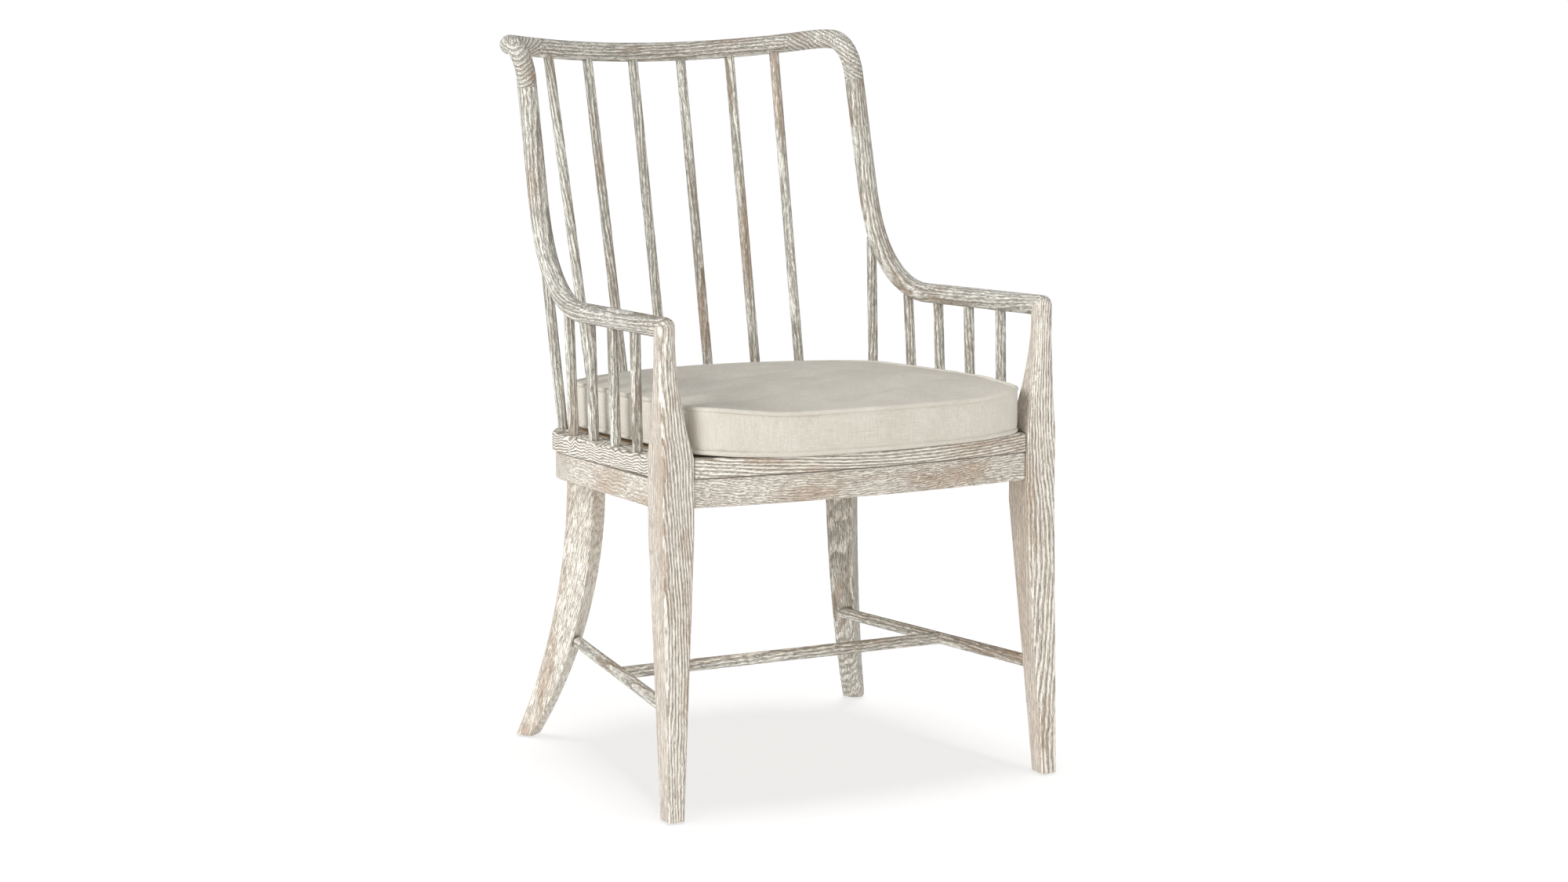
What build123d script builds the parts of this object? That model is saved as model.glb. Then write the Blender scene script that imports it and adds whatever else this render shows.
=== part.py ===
from build123d import *
import os
from math import cos, radians, sin

# Spindle-back dining armchair in hardwood with a loose box cushion.
# Millimetres, +Z up, the front faces -Y, the origin is on the floor under the middle.

# Seat: heights are given at SEAT_FRONT and fall towards the back
SEAT_SLOPE = 2.5
SEAT_FRONT = -315.5
APRON_BOTTOM = 407.0
RIM_BOTTOM = 445.7
RIM_TOP = 471.4
APRON_THICKNESS = 24.0
APRON_INSET = 3.0
RIM_WIDTH = 46.0
RIM_TOP_ROUNDING = 5.0
RIM_BOTTOM_ROUNDING = 1.2
RIM_END_ROUNDING = 2.5
APRON_ROUNDING = 2.0
PANEL_THICKNESS = 12.0
PANEL_LEDGE = 9.0
PANEL_GAP = 0.5

# Plan of the seat
NOSE_Y = -339.8
RIM_SIDE = ((286.0, -306.4), (270.5, 280.0))
APRON_SIDE = ((292.5, -305.8), (262.4, 280.0))
BACK_CENTRE = (0, -145.0)
BACK_RADIUS = 373.0
REAR_CORNER_RADIUS = 140.0
SEAM_Y = 34.0

# Front legs, which carry on upwards as the arm posts
LEG_OUTER_X = 291.0
LEG_INNER_X = 246.0
LEG_FRONT_Y = -317.5
LEG_REAR_Y = -268.5
LEG_TAPER_TOP = 375.0
FOOT_INNER_X = 268.0
FOOT_FRONT_Y = -330.2
FOOT_REAR_Y = -301.0
EDGE_ROUNDING = 3.5
POST_ROUND_FROM = 612.0
POST_NECK_INNER_X = 264.8
POST_NECK_OUTER_X = 292.2
POST_NECK_FRONT_Y = -310.5
POST_NECK_REAR_Y = -283.1
POST_NECK_ROUNDING = 13.2
POST_EASE = 1.6
POST_STATIONS = (0.0, 0.2, 0.5, 0.75, 1.0)

# Round frame of arms, uprights and crest rail: centre line of the right half
TUBE_RADIUS = 13.7
ELBOW = (278.5, -296.8, 639.1)
ARM_BEND = (260.7, 93.0, 624.0)
STILE_BEND = (258.3, 149.2, 739.5)
STILE_TOP = (255.9, 208.2, 973.5)
CREST_END = (229.9, 289.2, 973.6)
CREST_MIDDLE = (0, 326.1, 959.0)
CORNER_REACH = 24.2
BEND_RADII = (153.0, 260.0, 64.0, 33.0)
ARM_SEAM = (264.2, -30.0, 628.8)
STILE_SEAM = (256.4, 194.2, 918.0)
CREST_SEAM_ANGLE = 16.8
SEAM_CHAMFER = 0.5

# Spindles
SPINDLE_RADIUS = 7.1
SPINDLE_CENTRES_RADIUS = 362.0
BACK_SPINDLE_ANGLES = (-26.9, -16.8, -5.6, 5.6, 16.8, 26.9)
CREST_SPINDLE_ANGLES = (-15.2, -9.5, -3.2, 3.2, 9.5, 15.2)
ARM_SPINDLE_FEET = ((273.5, -202.5), (270.0, -125.5), (267.0, -47.5), (264.0, 27.5), (244.5, 109.5))
ARM_SPINDLE_TOPS = (-197.0, -116.5, -37.5, 42.5)
STILE_SPINDLE_TOP = (256.6, 141.0, 700.0)
SPINDLE_TENON = 14.0
SPINDLE_TOP_GAP = 5.0

# Rear sabre legs: a plan direction, and reach outwards from the leg's station
REAR_LEG_STATION = (221.5, 129.5)
REAR_LEG_TURN = 51.0
REAR_LEG_TOP = 387.9
REAR_LEG_FRONT_REACH = (-33.2, -11.6, 71.4)
REAR_LEG_BACK_REACH = (7.7, 30.3, 97.6)
REAR_LEG_OUTER = (6.1, 0.3)
REAR_LEG_INNER = (-36.2, -27.8)

# Stretchers
SIDE_STRETCHER_REAR = (213.5, 141.0, 143.8)
SIDE_STRETCHER_FRONT = (279.2, -287.5, 148.1)
STRETCHER_REAR_RADIUS = 8.0
STRETCHER_FRONT_RADIUS = 8.7
CROSS_STRETCHER_RADIUS = 8.5
CROSS_STRETCHER_FRACTION = 0.52
STRETCHER_TENON = 12.0
CROSS_TENON_RADIUS = 5.0
CROSS_TENON_DEPTH = 3.0

# Joinery and hardware
GLUE_GAP = 0.12
DOWEL_RADIUS = 4.0
DOWEL_HALF = 15.0
CREST_DOWEL_HALF = 10.0
DOWEL_LIFTS = (-9.0, 9.0)
RIM_DOWEL_DROP = 3.0
SCREW_RADIUS = 2.2
SCREW_INTO_RIM = 12.0
SCREW_HEAD_RADIUS = 4.2
SCREW_HEAD_HEIGHT = 3.0
SCREW_SPOTS = ((205.0, -287.0), (254.0, -242.0), (174.0, 144.0), (160.0, 150.5))
BLOCK_RAISE = 6.0
BLOCK_LEG_GAP = 1.0
FRONT_BLOCK_INNER_X = 175.0
FRONT_BLOCK_FRONT_Y = -300.0
FRONT_BLOCK_REAR_Y = -195.0
REAR_BLOCK_LENGTH = 62.0
REAR_BLOCK_WIDTH = 32.0
REAR_BLOCK_SHIFT = -2.0
LEG_HOUSING_LENGTH = 56.0
LEG_HOUSING_WIDTH = 45.0
LEG_HOUSING_CENTRE = (-20.0, 15.0)
GLIDE_HEIGHT = 3.0
GLIDE_RADIUS = 9.0
GLIDE_PIN_RADIUS = 2.5
GLIDE_PIN_LENGTH = 12.0
GLIDE_ROUNDING = 1.0
REAR_GLIDE_SHIFT = 1.0

# Loose cushion
CUSHION_BOTTOM = 472.0
CUSHION_TOP = 548.0
CUSHION_OVERHANG = 1.2
CUSHION_FRONT_SIDE = (244.0, -316.0)
CUSHION_SIDE = (250.5, -120.0)
CUSHION_REAR_SIDE = (234.0, 160.0)
CUSHION_BACK_RADIUS = 341.0
CUSHION_FRONT_CORNER = 33.0
CUSHION_REAR_CORNER = 60.0
CUSHION_EDGE = 9.0

# Working values: spare length of blanks that are trimmed, and how near counts as touching
BLANK_MARGIN = 60.0
NEAR_OUTLINE = 0.5
NEAR_SEAM = 0.01
NEARLY_PARALLEL = 0.999
SHORTEST_LEG_EDGE = 60.0
SEAT_NORMAL = Vector(0, sin(radians(SEAT_SLOPE)), cos(radians(SEAT_SLOPE)))
RIGHT_AND_LEFT = (1, -1)


def seat_level(height):
    """The sloping plane of the seat that has the given height at the front."""
    return Plane(origin=(0, SEAT_FRONT, height), x_dir=(1, 0, 0), z_dir=SEAT_NORMAL)


def height_at(level, y):
    """Height of a seat level above the point y."""
    return level - (y - SEAT_FRONT) * SEAT_NORMAL.Y / SEAT_NORMAL.Z


def seat_plan(side, inset):
    """Plan of the seat with the given side line, drawn in all round by the given distance."""
    side_front, side_rear = side
    with BuildSketch(mode=Mode.PRIVATE) as plan:
        with BuildLine():
            nose = ThreePointArc((-side_front[0], side_front[1]), (0, NOSE_Y), side_front)
            Polyline(nose @ 1, side_rear, (-side_rear[0], side_rear[1]), nose @ 0)
        make_face()
        with Locations(BACK_CENTRE):
            Circle(BACK_RADIUS, mode=Mode.INTERSECT)
        fillet(plan.vertices().sort_by(Axis.Y)[-2:], REAR_CORNER_RADIUS)
        if inset:
            offset(amount=-inset)
    return plan.sketch


def side_x(side, y):
    """Half width of the seat at the point y of its straight side."""
    side_front, side_rear = side
    slope = (side_rear[0] - side_front[0]) / (side_rear[1] - side_front[1])
    return side_front[0] + slope * (y - side_front[1])


def seat_ring(side, inset, width, bottom, top):
    """A closed ring along the seat's plan between two seat levels."""
    with BuildPart(mode=Mode.PRIVATE) as ring:
        with BuildSketch(Plane.XY.offset(bottom - BLANK_MARGIN)):
            add(seat_plan(side, inset))
            add(seat_plan(side, inset + width), mode=Mode.SUBTRACT)
        extrude(amount=top - bottom + 2 * BLANK_MARGIN)
        split(bisect_by=seat_level(top), keep=Keep.BOTTOM)
        split(bisect_by=seat_level(bottom), keep=Keep.TOP)
    return ring.part


def rod(start, end, radius, end_radius=None):
    """A round rod from one point to another, tapered if its end has its own radius."""
    run = Vector(*end) - Vector(*start)
    with BuildPart(mode=Mode.PRIVATE) as piece:
        with BuildSketch(Plane(origin=start, z_dir=run)):
            Circle(radius)
        if end_radius:
            with BuildSketch(Plane(origin=end, z_dir=run)):
                Circle(end_radius)
            loft()
        else:
            extrude(amount=run.length)
    return piece.part


def dowel_ends(centre, direction, half_length=DOWEL_HALF):
    """Ends of a dowel centred on a joint face."""
    reach = Vector(*direction).normalized() * half_length
    return Vector(*centre) - reach, Vector(*centre) + reach


def flipped(point):
    """The same point on the left side."""
    return Vector(-point.X, point.Y, point.Z)


def outline_edges(faces, side, inset):
    """Edges of the given faces that follow the seat's plan at the given inset."""
    outline = seat_plan(side, inset).wire()
    found = []
    for edge in faces.edges():
        middle = edge @ 0.5
        if outline.distance_to(Vertex(middle.X, middle.Y, 0)) < NEAR_OUTLINE:
            found.append(edge)
    return found


def level_faces(part, index):
    """The lowest (0) or highest (-1) sloping faces of a seat member."""
    slope_faces = part.faces().filter_by(
        lambda face: abs(face.normal_at().dot(SEAT_NORMAL)) > NEARLY_PARALLEL
    )
    return slope_faces.group_by(Axis((0, 0, 0), tuple(SEAT_NORMAL)))[index]


# ---- Centre lines of the round frame ----

crest_line = ThreePointArc((-CREST_END[0], *CREST_END[1:]), CREST_MIDDLE, CREST_END)
crest_tangent = crest_line % 1
corner_point = Vector(*CREST_END) + crest_tangent * CORNER_REACH
side_line = FilletPolyline(
    ELBOW, ARM_BEND, STILE_BEND, STILE_TOP, corner_point, CREST_END, radius=BEND_RADII
)
crest_radius = crest_line.edge().radius
crest_half_angle = crest_line.edge().length / crest_radius / 2
arm_direction = (Vector(*ARM_BEND) - Vector(*ELBOW)).normalized()
stile_direction = (Vector(*STILE_TOP) - Vector(*STILE_BEND)).normalized()


def on_crest(angle):
    """Fraction along the crest's centre line at an angle in degrees from its middle."""
    return 0.5 + radians(angle) / crest_half_angle / 2


arm_seam = Plane(origin=ARM_SEAM, z_dir=arm_direction)
stile_seam = Plane(origin=STILE_SEAM, z_dir=stile_direction)
crest_seam_point = crest_line @ on_crest(CREST_SEAM_ANGLE)
crest_seam_direction = crest_line % on_crest(CREST_SEAM_ANGLE)
crest_seam = Plane(origin=crest_seam_point, z_dir=crest_seam_direction)
crest_seam_left = Plane(origin=flipped(crest_seam_point), z_dir=flipped(crest_seam_direction))
elbow_mitre = Plane(origin=ELBOW, z_dir=arm_direction + Vector(0, 0, 1))

# ---- Spindle and dowel centre lines ----

back_spindle_lines = []
for foot_angle, crest_angle in zip(BACK_SPINDLE_ANGLES, CREST_SPINDLE_ANGLES):
    foot_x = BACK_CENTRE[0] + SPINDLE_CENTRES_RADIUS * sin(radians(foot_angle))
    foot_y = BACK_CENTRE[1] + SPINDLE_CENTRES_RADIUS * cos(radians(foot_angle))
    foot = Vector(foot_x, foot_y, height_at(RIM_TOP, foot_y))
    top = crest_line @ on_crest(crest_angle)
    lean = (top - foot).normalized()
    back_spindle_lines.append((foot - lean * SPINDLE_TENON, top - lean * SPINDLE_TOP_GAP))

arm_spindle_tops = []
for top_y in ARM_SPINDLE_TOPS:
    arm_spindle_tops.append(Vector(*ELBOW) + arm_direction * ((top_y - ELBOW[1]) / arm_direction.Y))
arm_spindle_tops.append(Vector(*STILE_SPINDLE_TOP))

arm_spindle_lines = []
for (foot_x, foot_y), top in zip(ARM_SPINDLE_FEET, arm_spindle_tops):
    foot = Vector(foot_x, foot_y, height_at(RIM_TOP, foot_y))
    lean = (top - foot).normalized()
    arm_spindle_lines.append((foot - lean * SPINDLE_TENON, top - lean * SPINDLE_TOP_GAP))

frame_dowel_lines = [
    dowel_ends(ELBOW, arm_direction + Vector(0, 0, 1)),
    dowel_ends(ARM_SEAM, arm_direction),
    dowel_ends(STILE_SEAM, stile_direction),
    dowel_ends(crest_seam_point, crest_seam_direction, CREST_DOWEL_HALF),
]

apron_middle = (APRON_BOTTOM + RIM_BOTTOM) / 2
rim_middle = (RIM_BOTTOM + RIM_TOP) / 2
apron_depth = APRON_INSET + APRON_THICKNESS / 2
side_apron_x = side_x(APRON_SIDE, LEG_REAR_Y) - apron_depth
seam_apron_x = side_x(APRON_SIDE, SEAM_Y) - apron_depth
side_rim_x = side_x(RIM_SIDE, LEG_REAR_Y) - RIM_WIDTH / 2
seam_rim_x = side_x(RIM_SIDE, SEAM_Y) - RIM_WIDTH / 2
front_apron_y = SEAT_FRONT + APRON_THICKNESS / 2 + APRON_INSET
front_rim_y = SEAT_FRONT + RIM_WIDTH / 2

seat_dowel_lines = []
for lift in DOWEL_LIFTS:
    front_height = height_at(apron_middle, front_apron_y) + lift
    side_height = height_at(apron_middle, LEG_REAR_Y) + lift
    seam_height = height_at(apron_middle, SEAM_Y) + lift
    seat_dowel_lines.append(dowel_ends((LEG_INNER_X, front_apron_y, front_height), (1, 0, 0)))
    seat_dowel_lines.append(dowel_ends((side_apron_x, LEG_REAR_Y, side_height), (0, 1, 0)))
    seat_dowel_lines.append(dowel_ends((seam_apron_x, SEAM_Y, seam_height), (0, 1, 0)))
rim_dowel_level = rim_middle - RIM_DOWEL_DROP
front_rim_dowel = (LEG_INNER_X, front_rim_y, height_at(rim_dowel_level, front_rim_y))
side_rim_dowel = (side_rim_x, LEG_REAR_Y, height_at(rim_dowel_level, LEG_REAR_Y))
seam_rim_dowel = (seam_rim_x, SEAM_Y, height_at(rim_dowel_level, SEAM_Y))
seat_dowel_lines.append(dowel_ends(front_rim_dowel, (1, 0, 0)))
seat_dowel_lines.append(dowel_ends(side_rim_dowel, (0, 1, 0)))
seat_dowel_lines.append(dowel_ends(seam_rim_dowel, (0, 1, 0)))

# ---- Blanks that holes are cut with ----

spindle_holes = []
for start, end in back_spindle_lines:
    spindle_holes.append(rod(start, end, SPINDLE_RADIUS + GLUE_GAP))
arm_spindle_holes = []
for start, end in arm_spindle_lines:
    arm_spindle_holes.append(rod(start, end, SPINDLE_RADIUS + GLUE_GAP))
    spindle_holes.append(rod(flipped(start), flipped(end), SPINDLE_RADIUS + GLUE_GAP))
spindle_holes += arm_spindle_holes

dowel_holes = []
for start, end in frame_dowel_lines + seat_dowel_lines:
    dowel_holes.append(rod(start, end, DOWEL_RADIUS + GLUE_GAP))
    dowel_holes.append(rod(flipped(start), flipped(end), DOWEL_RADIUS + GLUE_GAP))

# ---- Stretchers ----

side_run = (Vector(*SIDE_STRETCHER_FRONT) - Vector(*SIDE_STRETCHER_REAR)).normalized()
side_start = Vector(*SIDE_STRETCHER_REAR) - side_run * STRETCHER_TENON
side_end = Vector(*SIDE_STRETCHER_FRONT) + side_run * STRETCHER_TENON
side_joint = Vector(*SIDE_STRETCHER_REAR) * (1 - CROSS_STRETCHER_FRACTION)
side_joint = side_joint + Vector(*SIDE_STRETCHER_FRONT) * CROSS_STRETCHER_FRACTION
cross_tenon_end = side_joint + Vector(CROSS_TENON_DEPTH, 0, 0)
cross_tenon_hole = rod(flipped(cross_tenon_end), cross_tenon_end, CROSS_TENON_RADIUS + GLUE_GAP)
stretcher_blank = rod(side_start, side_end, STRETCHER_REAR_RADIUS, STRETCHER_FRONT_RADIUS)
stretcher_hole = rod(
    side_start, side_end, STRETCHER_REAR_RADIUS + GLUE_GAP, STRETCHER_FRONT_RADIUS + GLUE_GAP
)

with BuildPart() as side_stretcher_right:
    add(stretcher_blank)
    add(cross_tenon_hole, mode=Mode.SUBTRACT)

with BuildPart() as side_stretcher_left:
    mirror(side_stretcher_right.part, about=Plane.YZ)

with BuildPart() as cross_stretcher:
    add(rod(flipped(side_joint), side_joint, CROSS_STRETCHER_RADIUS))
    add(stretcher_hole, mode=Mode.SUBTRACT)
    add(mirror(stretcher_hole, about=Plane.YZ), mode=Mode.SUBTRACT)
    add(rod(flipped(cross_tenon_end), cross_tenon_end, CROSS_TENON_RADIUS))

# ---- Foot glides ----

rear_foot_reach = (REAR_LEG_FRONT_REACH[2] + REAR_LEG_BACK_REACH[2]) / 2
rear_foot_side = (REAR_LEG_OUTER[1] + REAR_LEG_INNER[1]) / 2
leg_along = Vector(cos(radians(REAR_LEG_TURN)), sin(radians(REAR_LEG_TURN)), 0)
leg_across = Vector(sin(radians(REAR_LEG_TURN)), -cos(radians(REAR_LEG_TURN)), 0)
rear_foot = Vector(*REAR_LEG_STATION) + leg_along * rear_foot_reach + leg_across * rear_foot_side
front_foot = Vector((FOOT_INNER_X + LEG_OUTER_X) / 2, (FOOT_FRONT_Y + FOOT_REAR_Y) / 2, 0)
rear_glide = (rear_foot.X - REAR_GLIDE_SHIFT, rear_foot.Y - REAR_GLIDE_SHIFT)
foot_centres = [(front_foot.X, front_foot.Y), rear_glide]

with BuildPart() as foot_glides:
    for centre_x, centre_y in foot_centres:
        for side in RIGHT_AND_LEFT:
            with BuildSketch(Plane.XY):
                with Locations((side * centre_x, centre_y)):
                    Circle(GLIDE_RADIUS)
            extrude(amount=GLIDE_HEIGHT)
            with BuildSketch(Plane.XY):
                with Locations((side * centre_x, centre_y)):
                    Circle(GLIDE_PIN_RADIUS)
            extrude(amount=GLIDE_HEIGHT + GLIDE_PIN_LENGTH)
    fillet(foot_glides.edges().group_by(Axis.Z)[0], GLIDE_ROUNDING)

pin_holes = []
for centre_x, centre_y in foot_centres:
    pin_foot = (centre_x, centre_y, 0)
    pin_top = (centre_x, centre_y, GLIDE_HEIGHT + GLIDE_PIN_LENGTH)
    pin_holes.append(rod(pin_foot, pin_top, GLIDE_PIN_RADIUS + GLUE_GAP))

# ---- Front legs ----


def leg_section(height, inner, front, rear, outer=LEG_OUTER_X, rounding=EDGE_ROUNDING):
    """One level cross section of a front leg."""
    with BuildSketch(Plane.XY.offset(height), mode=Mode.PRIVATE) as section:
        with Locations(((inner + outer) / 2, (front + rear) / 2)):
            RectangleRounded(outer - inner, rear - front, rounding)
    return section.sketch


def eased(start, end, share):
    """A value on the way from start to end that changes quickly at first and then settles."""
    return start + (end - start) * (1 - (1 - share) ** POST_EASE)


def post_section(share):
    """Cross section of the arm post, from the seat (0) to where the post is round (1)."""
    return leg_section(
        RIM_TOP + (POST_ROUND_FROM - RIM_TOP) * share,
        eased(LEG_INNER_X, POST_NECK_INNER_X, share),
        eased(LEG_FRONT_Y, POST_NECK_FRONT_Y, share),
        eased(LEG_REAR_Y, POST_NECK_REAR_Y, share),
        eased(LEG_OUTER_X, POST_NECK_OUTER_X, share),
        eased(EDGE_ROUNDING, POST_NECK_ROUNDING, share),
    )


foot_section = leg_section(GLIDE_HEIGHT, FOOT_INNER_X, FOOT_FRONT_Y, FOOT_REAR_Y)
block_section = leg_section(LEG_TAPER_TOP, LEG_INNER_X, LEG_FRONT_Y, LEG_REAR_Y)
post_sections = [post_section(share) for share in POST_STATIONS]

with BuildPart() as front_leg_right:
    loft([foot_section, block_section], ruled=True)
    extrude(block_section, amount=RIM_TOP - LEG_TAPER_TOP)
    loft(post_sections)
    with BuildSketch(Plane.XY.offset(POST_ROUND_FROM)):
        with Locations(ELBOW[:2]):
            Circle(TUBE_RADIUS)
    extrude(amount=ELBOW[2] - POST_ROUND_FROM)
    with Locations(ELBOW):
        Sphere(TUBE_RADIUS)
    split(bisect_by=elbow_mitre, keep=Keep.BOTTOM)
    add(dowel_holes, mode=Mode.SUBTRACT)
    add(stretcher_hole, mode=Mode.SUBTRACT)
    add(pin_holes, mode=Mode.SUBTRACT)

with BuildPart() as front_leg_left:
    mirror(front_leg_right.part, about=Plane.YZ)

leg_clear_width = 2 * (LEG_OUTER_X - LEG_INNER_X + GLUE_GAP)
leg_clear_depth = 2 * (LEG_REAR_Y - LEG_FRONT_Y + GLUE_GAP)

# ---- Rear legs ----

leg_plane = Plane(origin=(*REAR_LEG_STATION, 0), x_dir=leg_along, z_dir=leg_across)
leg_mid_height = REAR_LEG_TOP / 2
leg_head_top = height_at(RIM_BOTTOM, REAR_LEG_STATION[1])


def leg_side(offsets):
    """The slanting plane of a rear leg's flat side, from its offsets at the top and the foot."""
    top_point = leg_plane.from_local_coords((0, REAR_LEG_TOP, offsets[0]))
    foot_point = leg_plane.from_local_coords((0, 0, offsets[1]))
    slant = top_point - foot_point
    return Plane(origin=foot_point, x_dir=leg_along, z_dir=leg_along.cross(slant))


with BuildPart() as rear_leg_right:
    with BuildSketch(leg_plane):
        with BuildLine():
            front_top = (REAR_LEG_FRONT_REACH[0], REAR_LEG_TOP)
            front_foot_point = (REAR_LEG_FRONT_REACH[2], 0)
            back_top = (REAR_LEG_BACK_REACH[0], REAR_LEG_TOP)
            back_foot_point = (REAR_LEG_BACK_REACH[2], 0)
            front_head = (REAR_LEG_FRONT_REACH[0], leg_head_top + BLANK_MARGIN)
            back_head = (REAR_LEG_BACK_REACH[0], leg_head_top + BLANK_MARGIN)
            ThreePointArc(front_top, (REAR_LEG_FRONT_REACH[1], leg_mid_height), front_foot_point)
            Line(front_foot_point, back_foot_point)
            ThreePointArc(back_foot_point, (REAR_LEG_BACK_REACH[1], leg_mid_height), back_top)
            Polyline(back_top, back_head, front_head, front_top)
        make_face()
    extrude(amount=BLANK_MARGIN, both=True)
    split(bisect_by=leg_side(REAR_LEG_OUTER), keep=Keep.BOTTOM)
    split(bisect_by=leg_side(REAR_LEG_INNER), keep=Keep.TOP)
    long_edges = rear_leg_right.edges().filter_by(lambda edge: edge.length > SHORTEST_LEG_EDGE)
    fillet(long_edges, EDGE_ROUNDING)
    split(bisect_by=Plane.XY.offset(GLIDE_HEIGHT), keep=Keep.TOP)
    split(bisect_by=seat_level(RIM_BOTTOM), keep=Keep.BOTTOM)
    add(stretcher_hole, mode=Mode.SUBTRACT)
    add(pin_holes, mode=Mode.SUBTRACT)

with BuildPart() as rear_leg_left:
    mirror(rear_leg_right.part, about=Plane.YZ)

# ---- Corner blocks and their screws ----

block_inset = APRON_INSET + APRON_THICKNESS + GLUE_GAP
block_bottom = APRON_BOTTOM + BLOCK_RAISE
rear_block_centre = BLOCK_LEG_GAP - REAR_LEG_INNER[0] + REAR_BLOCK_WIDTH / 2

screw_lines = []
for spot_x, spot_y in SCREW_SPOTS:
    seat_point = Vector(spot_x, spot_y, height_at(block_bottom, spot_y))
    screw_lines.append((seat_point, seat_point + SEAT_NORMAL * (RIM_BOTTOM - block_bottom + SCREW_INTO_RIM)))


def screw(start, end, gap=0.0):
    """A countersunk screw, or with a gap the hole that it sits in."""
    head_end = start + SEAT_NORMAL * SCREW_HEAD_HEIGHT
    with BuildPart(mode=Mode.PRIVATE) as piece:
        add(rod(start, head_end, SCREW_HEAD_RADIUS + gap, SCREW_RADIUS + gap))
        add(rod(start, end, SCREW_RADIUS + gap))
    return piece.part


screw_holes = [screw(start, end, GLUE_GAP) for start, end in screw_lines]
screw_holes += [mirror(hole, about=Plane.YZ) for hole in screw_holes]

with BuildPart() as corner_block_screws:
    for start, end in screw_lines:
        add(screw(start, end))
    mirror(about=Plane.YZ)

with BuildPart() as front_block_blank:
    with BuildSketch(Plane.XY.offset(APRON_BOTTOM - BLANK_MARGIN)):
        with BuildLine():
            inner_end = (FRONT_BLOCK_INNER_X, FRONT_BLOCK_FRONT_Y)
            outer_corner = (LEG_OUTER_X, FRONT_BLOCK_FRONT_Y)
            rear_end = (LEG_OUTER_X, FRONT_BLOCK_REAR_Y)
            Polyline(inner_end, outer_corner, rear_end, inner_end)
        make_face()
        add(seat_plan(APRON_SIDE, block_inset), mode=Mode.INTERSECT)
        with Locations((LEG_OUTER_X, LEG_FRONT_Y)):
            Rectangle(leg_clear_width, leg_clear_depth, mode=Mode.SUBTRACT)
    extrude(amount=2 * BLANK_MARGIN)

with BuildPart() as rear_block_blank:
    with BuildSketch(Plane(origin=(*REAR_LEG_STATION, 0), x_dir=leg_along, z_dir=(0, 0, 1))):
        with Locations((REAR_BLOCK_SHIFT, rear_block_centre)):
            Rectangle(REAR_BLOCK_LENGTH, REAR_BLOCK_WIDTH)
    extrude(amount=RIM_TOP)
    with BuildSketch(Plane.XY):
        add(seat_plan(APRON_SIDE, block_inset))
    extrude(amount=RIM_TOP, mode=Mode.INTERSECT)

with BuildPart() as corner_blocks:
    add(front_block_blank.part)
    add(rear_block_blank.part)
    split(bisect_by=seat_level(RIM_BOTTOM), keep=Keep.BOTTOM)
    split(bisect_by=seat_level(block_bottom), keep=Keep.TOP)
    mirror(about=Plane.YZ)
    add(screw_holes, mode=Mode.SUBTRACT)

# ---- Seat frame ----

front_of_legs = Plane.XZ.offset(-LEG_REAR_Y)
seam_plane = Plane.XZ.offset(-SEAM_Y)
right_of_rail = Plane.YZ.offset(LEG_INNER_X)
left_of_rail = Plane.YZ.offset(-LEG_INNER_X)

apron_ring = seat_ring(APRON_SIDE, APRON_INSET, APRON_THICKNESS, APRON_BOTTOM, RIM_BOTTOM)
rim_ring = seat_ring(RIM_SIDE, 0, RIM_WIDTH, RIM_BOTTOM, RIM_TOP)

with BuildPart() as panel_recess:
    with BuildSketch(Plane.XY.offset(RIM_TOP - BLANK_MARGIN)):
        add(seat_plan(RIM_SIDE, RIM_WIDTH - PANEL_LEDGE))
    extrude(amount=2 * BLANK_MARGIN)
    split(bisect_by=seat_level(RIM_TOP - PANEL_THICKNESS), keep=Keep.TOP)

with BuildPart() as seat_panel:
    with BuildSketch(Plane.XY.offset(RIM_TOP - BLANK_MARGIN)):
        add(seat_plan(RIM_SIDE, RIM_WIDTH - PANEL_LEDGE + PANEL_GAP))
        with Locations((LEG_OUTER_X, LEG_FRONT_Y), (-LEG_OUTER_X, LEG_FRONT_Y)):
            Rectangle(
                leg_clear_width + 2 * PANEL_GAP, leg_clear_depth + 2 * PANEL_GAP, mode=Mode.SUBTRACT
            )
    extrude(amount=2 * BLANK_MARGIN)
    split(bisect_by=seat_level(RIM_TOP), keep=Keep.BOTTOM)
    split(bisect_by=seat_level(RIM_TOP - PANEL_THICKNESS), keep=Keep.TOP)

with BuildPart() as rear_leg_housing:
    with BuildSketch(Plane(origin=(*REAR_LEG_STATION, 0), x_dir=leg_along, z_dir=(0, 0, 1))):
        with Locations(LEG_HOUSING_CENTRE):
            Rectangle(LEG_HOUSING_LENGTH, LEG_HOUSING_WIDTH)
    extrude(amount=RIM_TOP)

apron_cuts = [*dowel_holes, rear_leg_housing.part, mirror(rear_leg_housing.part, about=Plane.YZ)]
rim_cuts = [panel_recess.part, *spindle_holes, *dowel_holes, *screw_holes]

with BuildPart() as front_apron:
    add(apron_ring)
    split(bisect_by=front_of_legs, keep=Keep.TOP)
    split(bisect_by=right_of_rail, keep=Keep.BOTTOM)
    split(bisect_by=left_of_rail, keep=Keep.TOP)
    fillet(outline_edges(level_faces(front_apron, 0), APRON_SIDE, APRON_INSET), APRON_ROUNDING)
    add(dowel_holes, mode=Mode.SUBTRACT)

with BuildPart() as side_apron_right:
    add(apron_ring)
    split(bisect_by=front_of_legs, keep=Keep.BOTTOM)
    split(bisect_by=seam_plane, keep=Keep.TOP)
    split(bisect_by=Plane.YZ, keep=Keep.TOP)
    fillet(outline_edges(level_faces(side_apron_right, 0), APRON_SIDE, APRON_INSET), APRON_ROUNDING)
    add(dowel_holes, mode=Mode.SUBTRACT)

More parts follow.
